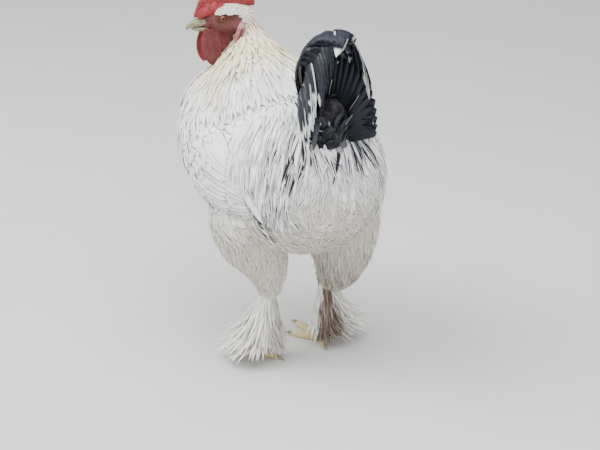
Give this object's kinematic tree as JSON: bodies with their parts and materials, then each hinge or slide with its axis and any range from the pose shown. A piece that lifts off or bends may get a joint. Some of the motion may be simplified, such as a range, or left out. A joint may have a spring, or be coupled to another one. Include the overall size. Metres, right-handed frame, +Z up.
{
  "type": "brahma chicken",
  "caption": "Life-size standing Brahma rooster with its head turned to its left, upright black tail, pea comb and feathered legs, as a still display model.",
  "frame": {"origin": "on the floor, under the middle of the bird's box", "axes": "+X forward along the body, from tail to breast; +Y to the bird's left; +Z up"},
  "size_m": [0.446, 0.342, 0.6545],
  "materials": {
    "white_plumage": "soft matt feathers",
    "cream_plumage": "soft matt feathers with a yellow tinge",
    "black_plumage": "black feathers with a faint blue sheen",
    "fluff": "loose down",
    "red_skin": "pebbled red skin",
    "scale_skin": "yellow scaled skin",
    "horn": "smooth horn",
    "eye": "wet gloss"
  },
  "bodies": {
    "root": {"torso": "white_plumage", "wing_left": "white_plumage", "wing_right": "white_plumage", "neck": "cream_plumage", "tail": "black_plumage", "head": "red_skin", "comb": "red_skin", "beak_upper": "horn", "beak_lower": "horn", "eye_left": "eye", "wattle_left": "red_skin", "earlobe_left": "red_skin", "thigh_left": "fluff", "shank_left": "fluff", "foot_left": "scale_skin", "claw_left_middle": "horn", "claw_left_inner": "horn", "claw_left_outer": "horn", "claw_left_hind": "horn", "eye_right": "eye", "wattle_right": "red_skin", "earlobe_right": "red_skin", "thigh_right": "fluff", "shank_right": "fluff", "foot_right": "scale_skin", "claw_right_middle": "horn", "claw_right_inner": "horn", "claw_right_outer": "horn", "claw_right_hind": "horn"}
  },
  "joints": []
}
